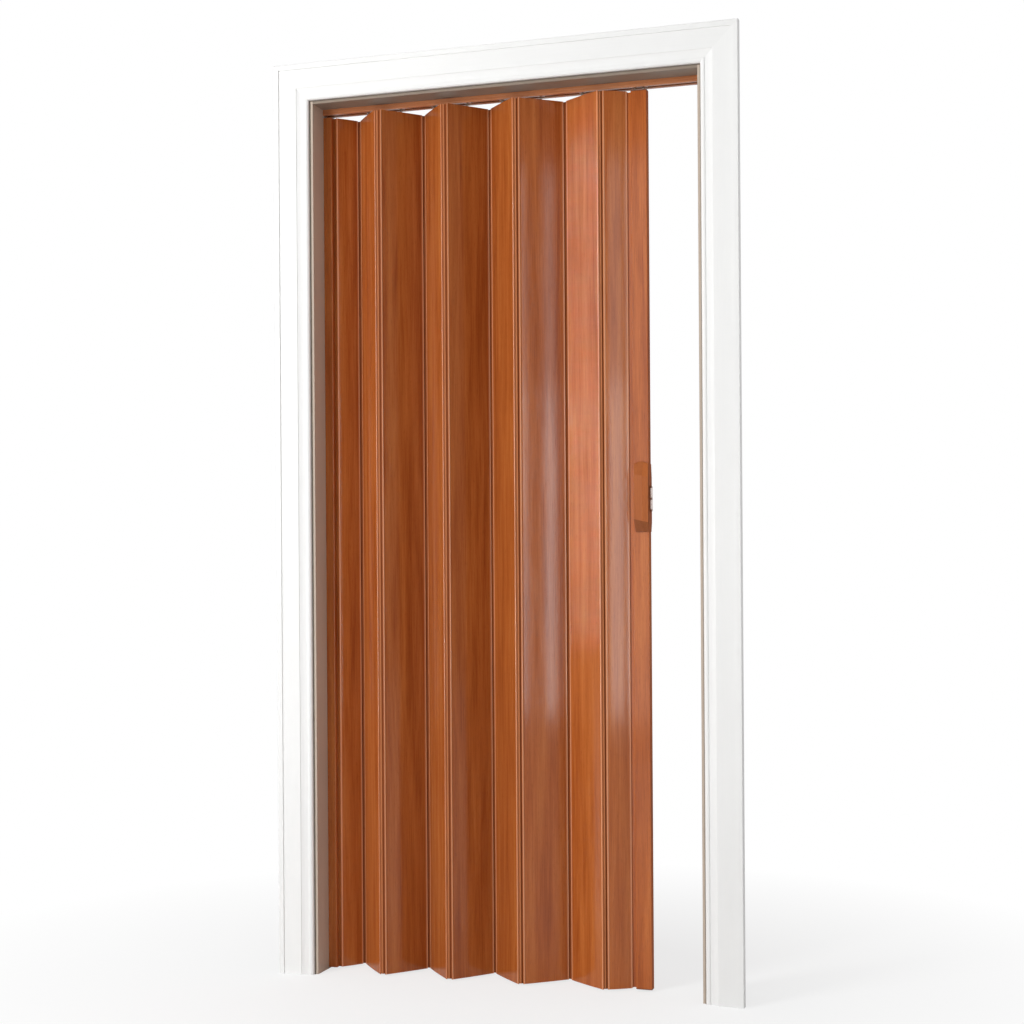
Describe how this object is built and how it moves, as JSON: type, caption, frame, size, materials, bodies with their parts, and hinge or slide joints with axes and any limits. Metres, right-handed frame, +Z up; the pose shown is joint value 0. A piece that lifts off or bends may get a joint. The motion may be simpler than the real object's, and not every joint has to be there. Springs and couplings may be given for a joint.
{
  "type": "folding closet door",
  "caption": "Accordion folding closet door of hinged vinyl slats, hung from a head track in a white cased opening, with lead post, pull handle and magnetic catch.",
  "frame": {"origin": "on the floor, at the middle of the frame's footprint", "axes": "+X along the opening from the wall strip to the strike, +Y into the wall, +Z up"},
  "size_m": [1.1, 0.141, 2.125],
  "materials": {
    "slat_film": "glossy cherry wood-grain film on rigid vinyl",
    "wall_strip_film": "glossy cherry wood-grain film",
    "track_film": "satin cherry wood-grain film",
    "post_film": "glossy cherry wood-grain film",
    "handle_plastic": "satin moulded plastic with wood colour",
    "cap_plastic": "moulded brown plastic",
    "hinge_vinyl": "soft brown vinyl",
    "plain_vinyl": "bare brown vinyl",
    "lining_paint": "greige satin paint on wood",
    "casing_paint": "white satin paint on moulded wood",
    "nylon": "natural nylon",
    "zinc_steel": "bright zinc plate",
    "catch_plastic": "brown moulded plastic",
    "nickel": "nickel plate"
  },
  "bodies": {
    "frame": {"jamb_left": "lining_paint", "jamb_right": "lining_paint", "jamb_head": "lining_paint", "jamb_screws": "zinc_steel", "casing_left": "casing_paint", "casing_right": "casing_paint", "casing_head": "casing_paint", "casing_nails": "zinc_steel", "track": "track_film", "track_screws": "zinc_steel", "wall_channel": "plain_vinyl", "wall_channel_screws": "zinc_steel", "wall_strip": "wall_strip_film", "strike_plate": "nickel", "strike_screws": "zinc_steel"},
    "slat_1": {"slat_1": "slat_film"},
    "strip_1": {"hinge_strip_1": "hinge_vinyl"},
    "slat_2": {"slat_2": "slat_film", "hanger_pin_2": "zinc_steel", "glide_2": "nylon"},
    "strip_2": {"hinge_strip_2": "hinge_vinyl"},
    "slat_3": {"slat_3": "slat_film", "hanger_pin_3": "zinc_steel", "glide_3": "nylon"},
    "strip_3": {"hinge_strip_3": "hinge_vinyl"},
    "slat_4": {"slat_4": "slat_film", "hanger_pin_4": "zinc_steel", "glide_4": "nylon"},
    "strip_4": {"hinge_strip_4": "hinge_vinyl"},
    "slat_5": {"slat_5": "slat_film", "hanger_pin_5": "zinc_steel", "glide_5": "nylon"},
    "strip_5": {"hinge_strip_5": "hinge_vinyl"},
    "slat_6": {"slat_6": "slat_film", "hanger_pin_6": "zinc_steel", "glide_6": "nylon"},
    "strip_6": {"hinge_strip_6": "hinge_vinyl"},
    "slat_7": {"slat_7": "slat_film", "hanger_pin_7": "zinc_steel", "glide_7": "nylon"},
    "strip_7": {"hinge_strip_7": "hinge_vinyl"},
    "slat_8": {"slat_8": "slat_film", "hanger_pin_8": "zinc_steel", "glide_8": "nylon"},
    "strip_8": {"hinge_strip_8": "hinge_vinyl"},
    "slat_9": {"slat_9": "slat_film"},
    "lead_post": {"lead_post": "post_film", "post_cap_top": "cap_plastic", "post_cap_bottom": "cap_plastic", "post_pins": "zinc_steel", "post_glide": "nylon", "handle_front": "handle_plastic", "handle_back": "handle_plastic", "handle_screws": "zinc_steel", "catch_housing": "catch_plastic", "catch_magnets": "nickel"}
  },
  "joints": [
    {"name": "slat_1_fold", "type": "hinge", "parent": "frame", "child": "slat_1", "pos_m": [-0.429, 0.0205, 1], "axis": [0, 0, 1], "range_deg": [-11.8, 34]},
    {"name": "strip_1_fold", "type": "hinge", "parent": "slat_1", "child": "strip_1", "pos_m": [-0.39333, 0.06302, 1], "axis": [0, 0, 1], "range_deg": [-34.02, 11.82]},
    {"name": "slat_2_fold", "type": "hinge", "parent": "strip_1", "child": "slat_2", "pos_m": [-0.38233, 0.06302, 1], "axis": [0, 0, 1], "range_deg": [-34.02, 11.82]},
    {"name": "strip_2_fold", "type": "hinge", "parent": "slat_2", "child": "strip_2", "pos_m": [-0.31098, -0.02201, 1], "axis": [0, 0, 1], "range_deg": [-11.82, 34.02]},
    {"name": "slat_3_fold", "type": "hinge", "parent": "strip_2", "child": "slat_3", "pos_m": [-0.29998, -0.02201, 1], "axis": [0, 0, 1], "range_deg": [-11.82, 34.02]},
    {"name": "strip_3_fold", "type": "hinge", "parent": "slat_3", "child": "strip_3", "pos_m": [-0.22863, 0.06302, 1], "axis": [0, 0, 1], "range_deg": [-34.02, 11.82]},
    {"name": "slat_4_fold", "type": "hinge", "parent": "strip_3", "child": "slat_4", "pos_m": [-0.21763, 0.06302, 1], "axis": [0, 0, 1], "range_deg": [-34.02, 11.82]},
    {"name": "strip_4_fold", "type": "hinge", "parent": "slat_4", "child": "strip_4", "pos_m": [-0.14628, -0.02201, 1], "axis": [0, 0, 1], "range_deg": [-11.82, 34.02]},
    {"name": "slat_5_fold", "type": "hinge", "parent": "strip_4", "child": "slat_5", "pos_m": [-0.13528, -0.02201, 1], "axis": [0, 0, 1], "range_deg": [-11.82, 34.02]},
    {"name": "strip_5_fold", "type": "hinge", "parent": "slat_5", "child": "strip_5", "pos_m": [-0.06393, 0.06302, 1], "axis": [0, 0, 1], "range_deg": [-16.72, 5.82]},
    {"name": "slat_6_fold", "type": "hinge", "parent": "strip_5", "child": "slat_6", "pos_m": [-0.05343, 0.05974, 1], "axis": [0, 0, 1], "range_deg": [-56.32, 19.56]},
    {"name": "strip_6_fold", "type": "hinge", "parent": "slat_6", "child": "strip_6", "pos_m": [0.02506, -0.01874, 1], "axis": [0, 0, 1], "range_deg": [-6.98, 20.08]},
    {"name": "slat_7_fold", "type": "hinge", "parent": "strip_6", "child": "slat_7", "pos_m": [0.03546, -0.01517, 1], "axis": [0, 0, 1], "range_deg": [-21.86, 62.96]},
    {"name": "strip_7_fold", "type": "hinge", "parent": "slat_7", "child": "strip_7", "pos_m": [0.12049, 0.05617, 1], "axis": [0, 0, 1], "range_deg": [-23.58, 8.2]},
    {"name": "slat_8_fold", "type": "hinge", "parent": "strip_7", "child": "slat_8", "pos_m": [0.1308, 0.05233, 1], "axis": [0, 0, 1], "range_deg": [-69.46, 24.12]},
    {"name": "strip_8_fold", "type": "hinge", "parent": "slat_8", "child": "strip_8", "pos_m": [0.22172, -0.01133, 1], "axis": [0, 0, 1], "range_deg": [-9.46, 27.23]},
    {"name": "slat_9_fold", "type": "hinge", "parent": "strip_8", "child": "slat_9", "pos_m": [0.23194, -0.00725, 1], "axis": [0, 0, 1], "range_deg": [-26.32, 75.81]},
    {"name": "lead_post_fold", "type": "hinge", "parent": "slat_9", "child": "lead_post", "pos_m": [0.28, 0.0205, 1], "axis": [0, 0, 1], "range_deg": [-54.02, 18.76]}
  ],
  "couplings": [
    {"joint": "strip_1_fold", "follows": "slat_1_fold", "ratio": -1},
    {"joint": "slat_2_fold", "follows": "slat_1_fold", "ratio": -1},
    {"joint": "strip_2_fold", "follows": "slat_1_fold", "ratio": 1},
    {"joint": "slat_3_fold", "follows": "slat_1_fold", "ratio": 1},
    {"joint": "strip_3_fold", "follows": "slat_1_fold", "ratio": -1},
    {"joint": "slat_4_fold", "follows": "slat_1_fold", "ratio": -1},
    {"joint": "strip_4_fold", "follows": "slat_1_fold", "ratio": 1},
    {"joint": "slat_5_fold", "follows": "slat_1_fold", "ratio": 1},
    {"joint": "strip_5_fold", "follows": "slat_1_fold", "ratio": -0.4912},
    {"joint": "slat_6_fold", "follows": "slat_1_fold", "ratio": -1.6559},
    {"joint": "strip_6_fold", "follows": "slat_1_fold", "ratio": 0.59011},
    {"joint": "slat_7_fold", "follows": "slat_1_fold", "ratio": 1.8511},
    {"joint": "strip_7_fold", "follows": "slat_1_fold", "ratio": -0.693},
    {"joint": "slat_8_fold", "follows": "slat_1_fold", "ratio": -2.0423},
    {"joint": "strip_8_fold", "follows": "slat_1_fold", "ratio": 0.80027},
    {"joint": "slat_9_fold", "follows": "slat_1_fold", "ratio": 2.2291},
    {"joint": "lead_post_fold", "follows": "slat_1_fold", "ratio": -1.5882}
  ]
}
